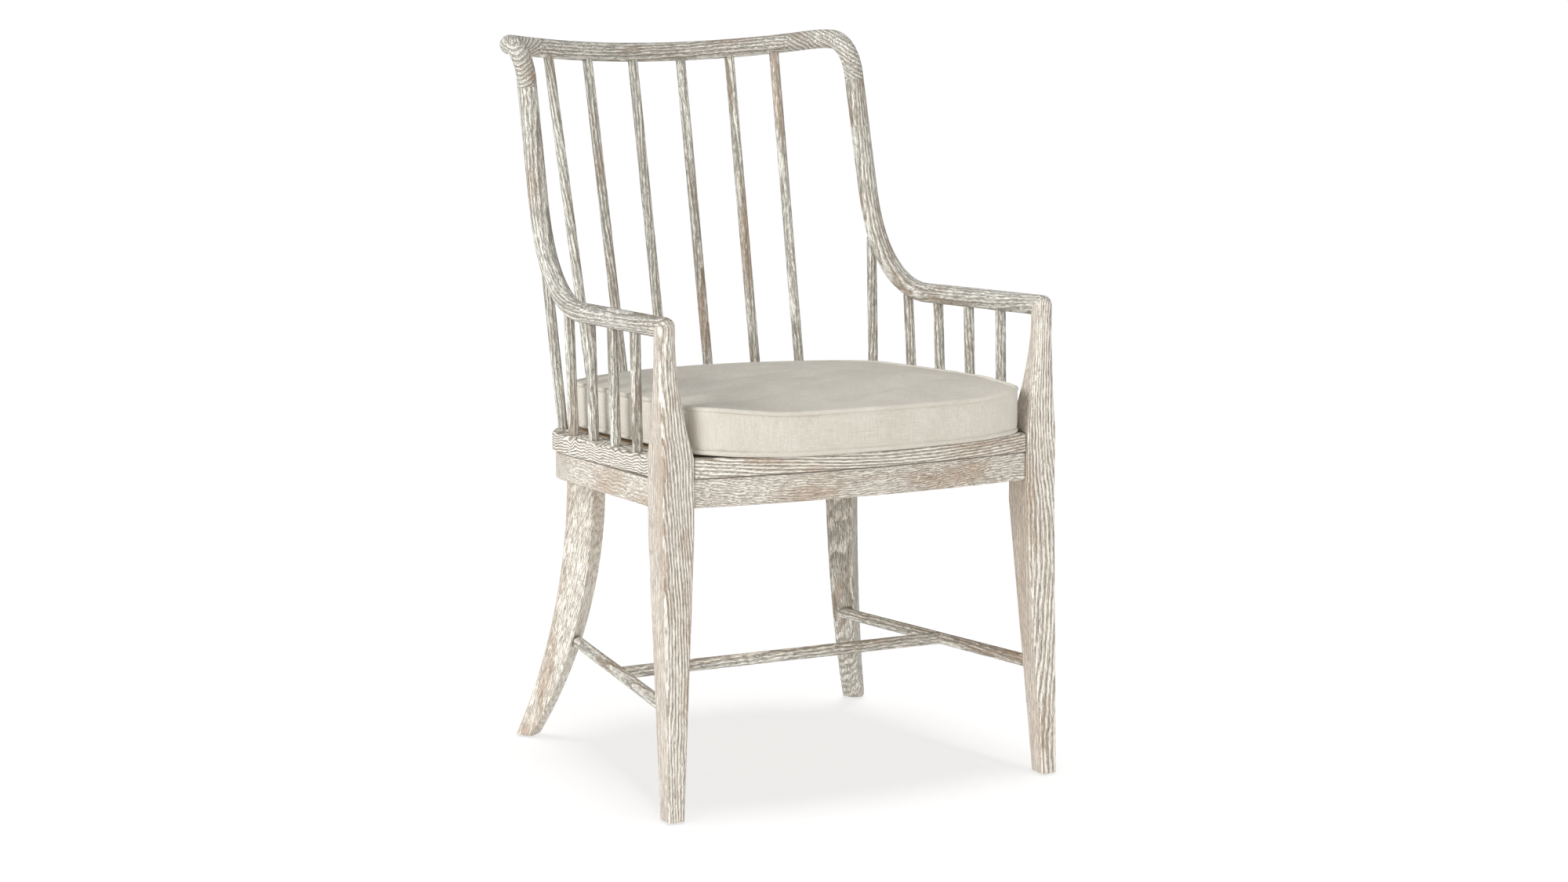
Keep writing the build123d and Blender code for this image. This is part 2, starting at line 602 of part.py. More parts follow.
with BuildPart() as back_apron:
    add(apron_ring)
    split(bisect_by=seam_plane, keep=Keep.BOTTOM)
    fillet(outline_edges(level_faces(back_apron, 0), APRON_SIDE, APRON_INSET), APRON_ROUNDING)
    add(apron_cuts, mode=Mode.SUBTRACT)

with BuildPart() as seat_rim_front:
    add(rim_ring)
    split(bisect_by=front_of_legs, keep=Keep.TOP)
    split(bisect_by=right_of_rail, keep=Keep.BOTTOM)
    split(bisect_by=left_of_rail, keep=Keep.TOP)
    fillet(seat_rim_front.edges().filter_by(Axis.Z).group_by(Axis.Y)[0], RIM_END_ROUNDING)
    fillet(outline_edges(level_faces(seat_rim_front, -1), RIM_SIDE, 0), RIM_TOP_ROUNDING)
    fillet(outline_edges(level_faces(seat_rim_front, 0), RIM_SIDE, 0), RIM_BOTTOM_ROUNDING)
    add(rim_cuts, mode=Mode.SUBTRACT)

with BuildPart() as seat_rim_right:
    add(rim_ring)
    split(bisect_by=front_of_legs, keep=Keep.BOTTOM)
    split(bisect_by=seam_plane, keep=Keep.TOP)
    split(bisect_by=Plane.YZ, keep=Keep.TOP)
    front_uprights = seat_rim_right.edges().filter_by(Axis.Z).group_by(Axis.Y)[0]
    fillet(front_uprights.sort_by(Axis.X)[-1], RIM_END_ROUNDING)
    fillet(outline_edges(level_faces(seat_rim_right, -1), RIM_SIDE, 0), RIM_TOP_ROUNDING)
    fillet(outline_edges(level_faces(seat_rim_right, 0), RIM_SIDE, 0), RIM_BOTTOM_ROUNDING)
    add(rim_cuts, mode=Mode.SUBTRACT)

with BuildPart() as seat_rim_back:
    add(rim_ring)
    split(bisect_by=seam_plane, keep=Keep.BOTTOM)
    fillet(outline_edges(level_faces(seat_rim_back, -1), RIM_SIDE, 0), RIM_TOP_ROUNDING)
    fillet(outline_edges(level_faces(seat_rim_back, 0), RIM_SIDE, 0), RIM_BOTTOM_ROUNDING)
    add(rim_cuts, mode=Mode.SUBTRACT)

with BuildPart() as side_apron_left:
    mirror(side_apron_right.part, about=Plane.YZ)

with BuildPart() as seat_rim_left:
    mirror(seat_rim_right.part, about=Plane.YZ)

# ---- Round frame ----


def seam_edges(part, seam):
    """The round edges of a piece that lie in a seam."""
    return part.edges().filter_by(lambda edge: abs(seam.to_local_coords(edge @ 0.3).Z) < NEAR_SEAM)


with BuildPart() as side_tube:
    with BuildLine() as side_path:
        add(side_line)
    with BuildSketch(Plane(origin=ELBOW, z_dir=arm_direction)):
        Circle(TUBE_RADIUS)
    sweep(path=side_path.wire())

with BuildPart() as crest_tube:
    with BuildLine() as crest_path:
        add(crest_line)
    with BuildSketch(Plane(origin=crest_line @ 0, z_dir=crest_line % 0)):
        Circle(TUBE_RADIUS)
    sweep()

with BuildPart() as arm_right:
    add(side_tube.part)
    split(bisect_by=arm_seam, keep=Keep.BOTTOM)
    chamfer(seam_edges(arm_right, arm_seam), SEAM_CHAMFER)
    with Locations(ELBOW):
        Sphere(TUBE_RADIUS)
    split(bisect_by=elbow_mitre, keep=Keep.TOP)
    add(dowel_holes + arm_spindle_holes, mode=Mode.SUBTRACT)

with BuildPart() as back_stile_right:
    add(side_tube.part)
    split(bisect_by=arm_seam, keep=Keep.TOP)
    split(bisect_by=stile_seam, keep=Keep.BOTTOM)
    chamfer(seam_edges(back_stile_right, arm_seam), SEAM_CHAMFER)
    chamfer(seam_edges(back_stile_right, stile_seam), SEAM_CHAMFER)
    add(dowel_holes + arm_spindle_holes, mode=Mode.SUBTRACT)

with BuildPart() as crest_corner_right:
    add(side_tube.part)
    add(crest_tube.part)
    split(bisect_by=stile_seam, keep=Keep.TOP)
    split(bisect_by=crest_seam, keep=Keep.TOP)
    chamfer(seam_edges(crest_corner_right, stile_seam), SEAM_CHAMFER)
    add(dowel_holes, mode=Mode.SUBTRACT)

with BuildPart() as crest_rail:
    add(crest_tube.part)
    split(bisect_by=crest_seam, keep=Keep.BOTTOM)
    split(bisect_by=crest_seam_left, keep=Keep.BOTTOM)
    add(dowel_holes + spindle_holes, mode=Mode.SUBTRACT)

with BuildPart() as arm_left:
    mirror(arm_right.part, about=Plane.YZ)

with BuildPart() as back_stile_left:
    mirror(back_stile_right.part, about=Plane.YZ)

with BuildPart() as crest_corner_left:
    mirror(crest_corner_right.part, about=Plane.YZ)

# ---- Dowels ----

with BuildPart() as frame_dowels:
    for start, end in frame_dowel_lines:
        add(rod(start, end, DOWEL_RADIUS))
    mirror(about=Plane.YZ)

with BuildPart() as seat_dowels:
    for start, end in seat_dowel_lines:
        add(rod(start, end, DOWEL_RADIUS))
    mirror(about=Plane.YZ)

# ---- Spindles ----

back_spindles = []
for start, end in back_spindle_lines:
    with BuildPart() as back_spindle:
        add(rod(start, end, SPINDLE_RADIUS))
    back_spindles.append(back_spindle)

right_arm_spindles = []
left_arm_spindles = []
for start, end in arm_spindle_lines:
    with BuildPart() as right_spindle:
        add(rod(start, end, SPINDLE_RADIUS))
    with BuildPart() as left_spindle:
        mirror(right_spindle.part, about=Plane.YZ)
    right_arm_spindles.append(right_spindle)
    left_arm_spindles.append(left_spindle)

# ---- Loose cushion ----

with BuildPart() as cushion:
    with BuildSketch(Plane.XY.offset(CUSHION_BOTTOM - BLANK_MARGIN)) as cushion_plan:
        with BuildLine():
            front_side = Vector(*CUSHION_FRONT_SIDE)
            rear_side = Vector(*CUSHION_REAR_SIDE)
            left_side = (-CUSHION_SIDE[0], CUSHION_SIDE[1])
            ThreePointArc(flipped(front_side), (0, NOSE_Y - CUSHION_OVERHANG), front_side)
            ThreePointArc(front_side, CUSHION_SIDE, rear_side)
            Polyline(rear_side, (0, BACK_RADIUS), flipped(rear_side))
            ThreePointArc(flipped(rear_side), left_side, flipped(front_side))
        make_face()
        with Locations(BACK_CENTRE):
            Circle(CUSHION_BACK_RADIUS, mode=Mode.INTERSECT)
        fillet(cushion_plan.vertices().sort_by(Axis.Y)[:2], CUSHION_FRONT_CORNER)
        fillet(cushion_plan.vertices().sort_by(Axis.Y)[-2:], CUSHION_REAR_CORNER)
    extrude(amount=CUSHION_TOP - CUSHION_BOTTOM + 2 * BLANK_MARGIN)
    split(bisect_by=seat_level(CUSHION_TOP), keep=Keep.BOTTOM)
    split(bisect_by=seat_level(CUSHION_BOTTOM), keep=Keep.TOP)
    fillet(level_faces(cushion, -1).edges(), CUSHION_EDGE)
    fillet(level_faces(cushion, 0).edges(), CUSHION_EDGE)

sub_parts = {
    "front_leg_left": front_leg_left,
    "front_leg_right": front_leg_right,
    "rear_leg_left": rear_leg_left,
    "rear_leg_right": rear_leg_right,
    "front_apron": front_apron,
    "back_apron": back_apron,
    "side_apron_left": side_apron_left,
    "side_apron_right": side_apron_right,
    "seat_rim_front": seat_rim_front,
    "seat_rim_back": seat_rim_back,
    "seat_rim_left": seat_rim_left,
    "seat_rim_right": seat_rim_right,
    "seat_panel": seat_panel,
    "corner_blocks": corner_blocks,
    "corner_block_screws": corner_block_screws,
    "seat_dowels": seat_dowels,
    "crest_rail": crest_rail,
    "crest_corner_left": crest_corner_left,
    "crest_corner_right": crest_corner_right,
    "back_stile_left": back_stile_left,
    "back_stile_right": back_stile_right,
    "arm_left": arm_left,
    "arm_right": arm_right,
    "frame_dowels": frame_dowels,
    "side_stretcher_left": side_stretcher_left,
    "side_stretcher_right": side_stretcher_right,
    "cross_stretcher": cross_stretcher,
    "foot_glides": foot_glides,
    "cushion": cushion,
}
for number, spindle in enumerate(back_spindles, start=1):
    sub_parts[f"back_spindle_{number}"] = spindle
for number, spindle in enumerate(right_arm_spindles, start=1):
    sub_parts[f"arm_spindle_right_{number}"] = spindle
for number, spindle in enumerate(left_arm_spindles, start=1):
    sub_parts[f"arm_spindle_left_{number}"] = spindle

os.makedirs("parts", exist_ok=True)
for name, piece in sub_parts.items():
    piece.part.label = name
    export_step(piece.part, f"parts/{name}.step")
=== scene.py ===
import random
from math import cos, pi, radians, sin, tau

import bpy
import numpy as np
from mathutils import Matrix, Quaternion, Vector, noise


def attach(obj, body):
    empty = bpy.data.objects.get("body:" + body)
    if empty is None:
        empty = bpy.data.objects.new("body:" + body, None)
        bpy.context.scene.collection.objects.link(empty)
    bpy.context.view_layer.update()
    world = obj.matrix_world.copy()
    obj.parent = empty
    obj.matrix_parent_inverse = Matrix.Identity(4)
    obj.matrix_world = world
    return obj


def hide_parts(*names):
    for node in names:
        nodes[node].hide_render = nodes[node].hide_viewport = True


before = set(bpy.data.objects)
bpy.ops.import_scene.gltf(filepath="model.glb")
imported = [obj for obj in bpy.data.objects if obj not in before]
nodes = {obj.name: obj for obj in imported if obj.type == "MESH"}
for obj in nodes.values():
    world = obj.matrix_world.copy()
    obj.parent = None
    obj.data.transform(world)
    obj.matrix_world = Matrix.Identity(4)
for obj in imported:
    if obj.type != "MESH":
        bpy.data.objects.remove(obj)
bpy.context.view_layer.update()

# ---------------------------------------------------------------- shader graph helpers

OCCLUSION_SAMPLES = 6


class Graph:
    """Short ways to add and join nodes in one shader tree."""

    def __init__(self, tree):
        self.tree = tree

    def add(self, kind, **settings):
        node = self.tree.nodes.new(kind)
        for name, value in settings.items():
            setattr(node, name, value)
        return node

    def feed(self, socket, source):
        """Joins a socket to another node's output, or sets it to a plain value."""
        if isinstance(source, bpy.types.NodeSocket):
            self.tree.links.new(source, socket)
        else:
            socket.default_value = source

    def math(self, operation, *sources):
        node = self.add("ShaderNodeMath", operation=operation)
        for socket, source in zip(node.inputs, sources):
            self.feed(socket, source)
        return node.outputs[0]

    def plus(self, first, second):
        return self.math("ADD", first, second)

    def minus(self, first, second):
        return self.math("SUBTRACT", first, second)

    def times(self, first, second):
        return self.math("MULTIPLY", first, second)

    def weighted(self, *terms):
        """The sum of values, each times its weight."""
        total = self.times(*terms[0])
        for value, weight in terms[1:]:
            total = self.plus(total, self.times(value, weight))
        return total

    def vector(self, operation, *sources):
        node = self.add("ShaderNodeVectorMath", operation=operation)
        for socket, source in zip(node.inputs, sources):
            self.feed(socket, source)
        return node.outputs["Value"] if operation == "LENGTH" else node.outputs[0]

    def parts(self, vector):
        """The X, Y and Z of a vector."""
        node = self.add("ShaderNodeSeparateXYZ")
        self.feed(node.inputs[0], vector)
        return node.outputs

    def object_place(self):
        return self.add("ShaderNodeTexCoord").outputs["Object"]

    def facing(self, axis):
        """How squarely the surface faces along an axis, from 0 to 1."""
        normal = self.parts(self.add("ShaderNodeNewGeometry").outputs["Normal"])
        return self.math("ABSOLUTE", normal[axis])

    def noise(self, place, stretch, detail=2.0, roughness=0.5, colour=False):
        """Noise whose cells have the given number per metre along each axis."""
        node = self.add("ShaderNodeTexNoise")
        self.feed(node.inputs["Vector"], self.vector("MULTIPLY", place, stretch))
        node.inputs["Scale"].default_value = 1.0
        node.inputs["Detail"].default_value = detail
        node.inputs["Roughness"].default_value = roughness
        return node.outputs["Color" if colour else "Fac"]

    def ramp(self, factor, stops):
        """A value that runs through (position, value) stops."""
        node = self.add("ShaderNodeValToRGB")
        elements = node.color_ramp.elements
        while len(elements) < len(stops):
            elements.new(0.5)
        for element, (position, value) in zip(elements, stops):
            element.position = position
            element.color = (value, value, value, 1.0)
        self.feed(node.inputs["Fac"], factor)
        return node.outputs["Color"]

    def mix(self, factor, first, second):
        node = self.add("ShaderNodeMix", data_type="RGBA")
        self.feed(node.inputs["Factor"], factor)
        self.feed(node.inputs["A"], first)
        self.feed(node.inputs["B"], second)
        return node.outputs["Result"]

    def spread(self, value, low, high):
        """A value stretched so that low gives 0 and high gives 1, and clamped."""
        node = self.add("ShaderNodeMapRange", clamp=True, interpolation_type="SMOOTHSTEP")
        self.feed(node.inputs["Value"], value)
        node.inputs["From Min"].default_value = low
        node.inputs["From Max"].default_value = high
        return node.outputs["Result"]

    def occlusion(self, distance, **settings):
        """How open the surface is to what lies within a distance, from 0 to 1."""
        node = self.add("ShaderNodeAmbientOcclusion", samples=OCCLUSION_SAMPLES, **settings)
        node.inputs["Distance"].default_value = distance
        return node.outputs["AO"]

    def bump(self, height, distance, strength):
        node = self.add("ShaderNodeBump")
        node.inputs["Distance"].default_value = distance
        node.inputs["Strength"].default_value = strength
        self.feed(node.inputs["Height"], height)
        return node.outputs["Normal"]


def new_material(name, roughness):
    """A material with one Principled shader, and the graph to build on."""
    material = bpy.data.materials.new(name)
    material.use_nodes = True
    material.node_tree.nodes.clear()
    graph = Graph(material.node_tree)
    shader = graph.add("ShaderNodeBsdfPrincipled")
    shader.inputs["Roughness"].default_value = roughness
    output = graph.add("ShaderNodeOutputMaterial")
    graph.feed(output.inputs["Surface"], shader.outputs["BSDF"])
    return material, graph, shader


# ---------------------------------------------------------------- seat level

SEAT_FRONT = -0.3155
SEAT_SLOPE = radians(2.5)
SEAT_FALL = float(np.tan(SEAT_SLOPE))


def positions(mesh):
    flat = np.empty(len(mesh.vertices) * 3)
    mesh.vertices.foreach_get("co", flat)
    return flat.reshape(-1, 3)


def level(points):
    """Height above the floor that each point would have at the seat's front edge."""
    return points[:, 2] + (points[:, 1] - SEAT_FRONT) * SEAT_FALL


# ---------------------------------------------------------------- limed oak

LIME = (0.92, 0.88, 0.795, 1)
TAN = (0.47, 0.35, 0.255, 1)
GREY_BROWN = (0.35, 0.295, 0.24, 1)
BARE = (0.52, 0.37, 0.255, 1)
GREY = (0.28, 0.29, 0.255, 1)
BROWN = (0.40, 0.27, 0.175, 1)
# Mid tone of the painted light wash on faces turned along X
SIDE_LIGHT_TONE = (0.66, 0.575, 0.485, 1)
PORE = (0.12, 0.10, 0.076, 1)
# Tone of the grime and painted shade in joints and creases, and of the painted shadow line under the seat
# rim
GRIME_AND_SHADE_TONE = (0.16, 0.135, 0.105, 1)

# Noise cells per metre: across the grain both ways, then along it
SWAY_CELLS = (5.0, 5.0, 1.6)
WAVER_CELLS = (60.0, 60.0, 14.0)
FIGURE_CELLS = (30.0, 30.0, 42.0)
PATCH_CELLS = (24.0, 24.0, 6.0)
FIBRE_CELLS = (640.0, 640.0, 20.0)
SPECK_CELLS = (840.0, 840.0, 84.0)
SCRATCH_CELLS = (1050.0, 1050.0, 52.0)
GRIT_CELLS = (1500.0, 1500.0, 700.0)

# How far the growth rings stray, in metres
SWAY = 0.06
WAVER = 0.0035
FIGURE = 0.012

# Open and dense wood across one growth ring, as places in the ring and amounts
EARLY_WOOD = ((0.0, 0.2), (0.12, 1.0), (0.4, 0.9), (0.62, 0.2), (0.93, 0.0), (1.0, 0.2))
LATE_WOOD = ((0.0, 0.85), (0.08, 0.15), (0.22, 0.0), (0.74, 0.0), (0.9, 0.7), (1.0, 0.95))
EARLY_WOOD_MEAN = 0.45

# Where each effect starts and where it is full
TAN_FIBRES = (0.35, 0.65)
WORN_PATCHES = (0.50, 0.68)
LINED_PATCHES = (0.36, 0.56)
LINED_FIBRES = (0.30, 0.52)
SIDE_FACING_RANGE = (0.80, 0.92)
LIMED = (0.785, 1.0)
DARKENED = (0.385, 0.505)
RUBBED = (0.62, 0.30)
GRIME_AND_SHADE_RANGE = (0.80, 0.45)

# What raises and lowers the lime's hold, the dark lines and the surface itself
LIME_WEIGHTS = {"specks": 1.15, "fibres": 0.55, "worn": -0.10, "lined": -0.22}
LINE_WEIGHTS = {"scratches": 0.55, "grit": 0.25, "banding": -0.35, "greying": 0.04}
HEIGHT_WEIGHTS = {"limed": 0.5, "dark": -0.8, "fibres": 0.5}

# How much of each tone shows where its effect is full
BARE_SHARE = 0.6
THIN_LIME_SHARE = 0.27
THIN_LIME_LOSS = -0.14
LIME_SHARE = 0.94
BROWN_SHARE = 0.8
PORE_SHARE = 0.66
SIDE_LIGHT_SHARE = 0.42
EDGE_SHARE = 0.5
GRIME_AND_SHADE_SHARE = 0.6
SHADOW_LINE_SHARE = 0.8
SIDE_LIGHT_CALM = 0.6

EDGE_REACH = 0.0022
JOINT_REACH = 0.007
BARE_ROUGHNESS = 0.60
LIME_ROUGHNESS = 0.16
OAK_BUMP = 0.0007
OAK_BUMP_STRENGTH = 0.8
OAK_SPECULAR = 0.3
FROM_PITH = (0.05, 0.16)
ALONG_TREE = (0, 4)
JOINT_LINE_TOP = 0.0016
JOINT_LINE_BOTTOM = 0.0026

# The lower bend of the uprights, in the plane of Y and Z, and the gentle bend above it
BEND_CENTRE = (-0.0008, 0.7807)
BEND_RADIUS = 0.153
BEND_FROM = radians(-92.2)
BEND_TO = radians(-26.0)
UPPER_BEND_FROM = -0.0408
UPPER_BEND_EASE = 0.05
UPPER_BEND_SLOPE = 0.209

LOOK_INPUTS = ("Figure", "Rings", "Banding", "Liming", "Greying", "Lines", "Side light wash")


def limed_oak_group():
    """Brushed open-grain oak with lime wax in its pores, in a space whose Z runs along the grain."""
    tree = bpy.data.node_groups.new("limed_oak", "ShaderNodeTree")
    tree.interface.new_socket("Grain place", in_out="INPUT", socket_type="NodeSocketVector")
    for name in LOOK_INPUTS + ("Painted shadow line",):
        tree.interface.new_socket(name, in_out="INPUT", socket_type="NodeSocketFloat")
    tree.interface.new_socket("Colour", in_out="OUTPUT", socket_type="NodeSocketColor")
    tree.interface.new_socket("Roughness", in_out="OUTPUT", socket_type="NodeSocketFloat")
    tree.interface.new_socket("Height", in_out="OUTPUT", socket_type="NodeSocketFloat")
    graph = Graph(tree)
    entry = graph.add("NodeGroupInput").outputs
    place = entry["Grain place"]

    def drift(cells, amount):
        """A shift across the grain that changes with place."""
        cloud = graph.noise(place, cells, 1.0, 0.55, colour=True)
        field = graph.vector("SUBTRACT", cloud, (0.5, 0.5, 0.5))
        return graph.vector("MULTIPLY", field, (amount, amount, 0.0))

    figured = graph.add("ShaderNodeVectorMath", operation="SCALE")
    graph.feed(figured.inputs[0], drift(FIGURE_CELLS, FIGURE))
    graph.feed(figured.inputs["Scale"], entry["Figure"])
    bent = graph.vector("ADD", place, drift(SWAY_CELLS, SWAY))
    bent = graph.vector("ADD", bent, drift(WAVER_CELLS, WAVER))
    bent = graph.vector("ADD", bent, figured.outputs[0])
    from_pith = graph.vector("LENGTH", graph.vector("MULTIPLY", bent, (1.0, 1.0, 0.0)))
    ring = graph.math("FRACT", graph.times(from_pith, entry["Rings"]))
    early_wood = graph.ramp(ring, EARLY_WOOD)
    late_wood = graph.ramp(ring, LATE_WOOD)

    fibres = graph.noise(bent, FIBRE_CELLS, 3.0, 0.65)
    grit = graph.noise(place, GRIT_CELLS, 1.0, 0.5)
    specks = graph.noise(bent, SPECK_CELLS, 4.0, 0.72)
    scratches = graph.noise(bent, SCRATCH_CELLS, 3.0, 0.65)
    patches = graph.noise(place, PATCH_CELLS, 3.0, 0.55)
    worn = graph.spread(patches, *WORN_PATCHES)
    lined = graph.times(late_wood, graph.spread(patches, *LINED_PATCHES))
    lined = graph.times(graph.times(lined, entry["Lines"]), graph.spread(fibres, *LINED_FIBRES))

    # Painted light: faces turned to either side along X get calmer banding and a mid-tone wash, which stands
    # in for the washed-out look of the side lighting.
    side_light_wash = graph.times(graph.spread(graph.facing("X"), *SIDE_FACING_RANGE), entry["Side light wash"])
    banding = graph.times(graph.minus(early_wood, EARLY_WOOD_MEAN), entry["Banding"])
    banding = graph.times(banding, graph.minus(1.0, graph.times(side_light_wash, SIDE_LIGHT_CALM)))
    hold = graph.weighted((specks, LIME_WEIGHTS["specks"]), (fibres, LIME_WEIGHTS["fibres"]),
                          (worn, LIME_WEIGHTS["worn"]), (lined, LIME_WEIGHTS["lined"]))
    limed = graph.spread(graph.plus(graph.plus(hold, banding), entry["Liming"]), *LIMED)
    lines = graph.weighted((scratches, LINE_WEIGHTS["scratches"]), (grit, LINE_WEIGHTS["grit"]),
                           (banding, LINE_WEIGHTS["banding"]), (entry["Greying"], LINE_WEIGHTS["greying"]))
    dark = graph.times(graph.spread(lines, *DARKENED), graph.minus(1.0, limed))

    wood = graph.mix(graph.spread(fibres, *TAN_FIBRES), GREY_BROWN, TAN)
    wood = graph.mix(graph.times(worn, BARE_SHARE), wood, BARE)
    wood = graph.mix(graph.times(graph.minus(1.0, worn), entry["Greying"]), wood, GREY)
    thin_lime = graph.plus(graph.times(worn, THIN_LIME_LOSS), THIN_LIME_SHARE)
    colour = graph.mix(graph.times(limed, LIME_SHARE), graph.mix(thin_lime, wood, LIME), LIME)
    colour = graph.mix(graph.times(lined, BROWN_SHARE), colour, BROWN)
    colour = graph.mix(graph.times(dark, PORE_SHARE), colour, PORE)
    colour = graph.mix(graph.times(side_light_wash, SIDE_LIGHT_SHARE), colour, SIDE_LIGHT_TONE)
    rubbed = graph.spread(graph.occlusion(EDGE_REACH, inside=True, only_local=True), *RUBBED)
    colour = graph.mix(graph.times(rubbed, EDGE_SHARE), colour, BARE)
    # Grime and painted shade: the wood darkens where nearby surfaces enclose it, in joints and creases.
    grime_and_shade = graph.times(graph.spread(graph.occlusion(JOINT_REACH), *GRIME_AND_SHADE_RANGE), GRIME_AND_SHADE_SHARE)
    colour = graph.mix(graph.math("MAXIMUM", grime_and_shade, entry["Painted shadow line"]), colour, GRIME_AND_SHADE_TONE)

    height = graph.weighted((limed, HEIGHT_WEIGHTS["limed"]), (dark, HEIGHT_WEIGHTS["dark"]),
                            (fibres, HEIGHT_WEIGHTS["fibres"]))
    leave = graph.add("NodeGroupOutput")
    graph.feed(leave.inputs["Colour"], colour)
    graph.feed(leave.inputs["Roughness"], graph.plus(graph.times(limed, LIME_ROUGHNESS), BARE_ROUGHNESS))
    graph.feed(leave.inputs["Height"], height)
    return tree


def grain_direction(node):
    """The long axis of a CAD node, from the spread of its corners."""
    corners = positions(node.data)
    axes = np.linalg.svd(corners - corners.mean(0), full_matrices=False)[2]
    return Vector(axes[0])


def along_the_bend(graph, place):
    """Place in a bent upright: across it in X and Y, and the length along its bend in Z."""
    parts = graph.parts(place)
    from_y = graph.minus(parts["Y"], BEND_CENTRE[0])
    from_z = graph.minus(parts["Z"], BEND_CENTRE[1])
    angle = graph.math("ARCTAN2", from_z, from_y)
    angle = graph.math("MINIMUM", graph.math("MAXIMUM", angle, BEND_FROM), BEND_TO)
    cosine = graph.math("COSINE", angle)
    sine = graph.math("SINE", angle)
    across = graph.plus(graph.times(from_y, cosine), graph.times(from_z, sine))
    along = graph.minus(graph.times(from_z, cosine), graph.times(from_y, sine))
    along = graph.plus(along, graph.times(angle, BEND_RADIUS))
    past = graph.math("SMOOTH_MAX", graph.minus(along, UPPER_BEND_FROM), 0.0, UPPER_BEND_EASE)
    across = graph.plus(across, graph.times(past, UPPER_BEND_SLOPE))
    joined = graph.add("ShaderNodeCombineXYZ")
    graph.feed(joined.inputs["X"], parts["X"])
    graph.feed(joined.inputs["Y"], across)
    graph.feed(joined.inputs["Z"], along)
    return joined.outputs[0]


def painted_joint_shadow(graph, place, name):
    """Painted shadow line along the top of an apron, under the seat rim's overhang."""
    top = float(level(positions(nodes[name].data)).max())
    parts = graph.parts(place)
    fall = graph.times(graph.minus(parts["Y"], SEAT_FRONT), SEAT_FALL)
    shadow_line = graph.spread(graph.plus(parts["Z"], fall), top - JOINT_LINE_BOTTOM, top - JOINT_LINE_TOP)
    return graph.times(shadow_line, SHADOW_LINE_SHARE)


def limed_oak(group, name, look):
    """Limed oak for one piece, cut from its own place in the tree with the grain along it."""
    material, graph, shader = new_material(f"limed_oak_{name}", 0.7)
    draw = random.Random(name)
    place = graph.object_place()
    wood = graph.add("ShaderNodeGroup", node_tree=group)
    for socket, value in look.items():
        wood.inputs[socket].default_value = value
    # Aprons get a painted shadow line where the seat rim overhangs them.
    if "apron" in name:
        graph.feed(wood.inputs["Painted shadow line"], painted_joint_shadow(graph, place, name))
    turn = grain_direction(nodes[name]).rotation_difference(Vector((0, 0, 1)))
    if name.startswith("back_stile"):
        place = along_the_bend(graph, place)
        turn = Quaternion()
    spin = Quaternion((0, 0, 1), draw.uniform(0, tau))
    from_pith = draw.uniform(*FROM_PITH)
    side = draw.uniform(0, tau)
    mapping = graph.add("ShaderNodeMapping")
    graph.feed(mapping.inputs["Vector"], place)
    graph.feed(mapping.inputs["Rotation"], (spin @ turn).to_euler())
    graph.feed(mapping.inputs["Location"],
               (from_pith * cos(side), from_pith * sin(side), draw.uniform(*ALONG_TREE)))
    graph.feed(wood.inputs["Grain place"], mapping.outputs["Vector"])
    graph.feed(shader.inputs["Base Color"], wood.outputs["Colour"])
    graph.feed(shader.inputs["Roughness"], wood.outputs["Roughness"])
    graph.feed(shader.inputs["Normal"], graph.bump(wood.outputs["Height"], OAK_BUMP, OAK_BUMP_STRENGTH))
    shader.inputs["Specular IOR Level"].default_value = OAK_SPECULAR
    return material


# ---------------------------------------------------------------- hidden pieces

GRAIN_SPREAD = (0.3, 0.7)
FINE_BUMP = 0.0003
BLOCK_LIGHT = (0.70, 0.55, 0.38, 1)
BLOCK_DARK = (0.50, 0.36, 0.23, 1)
BEECH_LIGHT = (0.72, 0.56, 0.40, 1)
BEECH_DARK = (0.56, 0.41, 0.28, 1)
BIRCH_LIGHT = (0.70, 0.55, 0.38, 1)
BIRCH_DARK = (0.52, 0.37, 0.22, 1)
ZINC_LIGHT = (0.72, 0.72, 0.70, 1)
ZINC_DARK = (0.48, 0.48, 0.45, 1)
NYLON_LIGHT = (0.80, 0.79, 0.74, 1)
NYLON_DARK = (0.66, 0.64, 0.58, 1)


def plain_wood(name, light, dark, cells, bump_strength, roughness=0.65):
    """Unfinished wood with fine grain, whose cells per metre along each axis set its direction."""
    material, graph, shader = new_material(name, roughness)
    grain = graph.noise(graph.object_place(), cells, 3.0, 0.6)
    graph.feed(shader.inputs["Base Color"], graph.mix(graph.spread(grain, *GRAIN_SPREAD), dark, light))
    graph.feed(shader.inputs["Normal"], graph.bump(grain, FINE_BUMP, bump_strength))
    return material


def zinc_steel():
    """Zinc-plated screws with a faint brushed tone."""
    material, graph, shader = new_material("zinc_steel", 0.35)
    shader.inputs["Metallic"].default_value = 1.0
    mottle = graph.noise(graph.object_place(), (900.0, 900.0, 300.0))
    graph.feed(shader.inputs["Base Color"], graph.mix(mottle, ZINC_DARK, ZINC_LIGHT))
    graph.feed(shader.inputs["Roughness"], graph.plus(graph.times(mottle, 0.25), 0.25))
    return material


def nylon():
    """Off-white moulded nylon with light scuffs."""
    material, graph, shader = new_material("nylon", 0.45)
    scuffs = graph.noise(graph.object_place(), (300.0, 300.0, 300.0), 3.0, 0.6)
    graph.feed(shader.inputs["Base Color"], graph.mix(scuffs, NYLON_DARK, NYLON_LIGHT))
    graph.feed(shader.inputs["Roughness"], graph.plus(graph.times(scuffs, 0.3), 0.35))
    return material


# ---------------------------------------------------------------- cushion

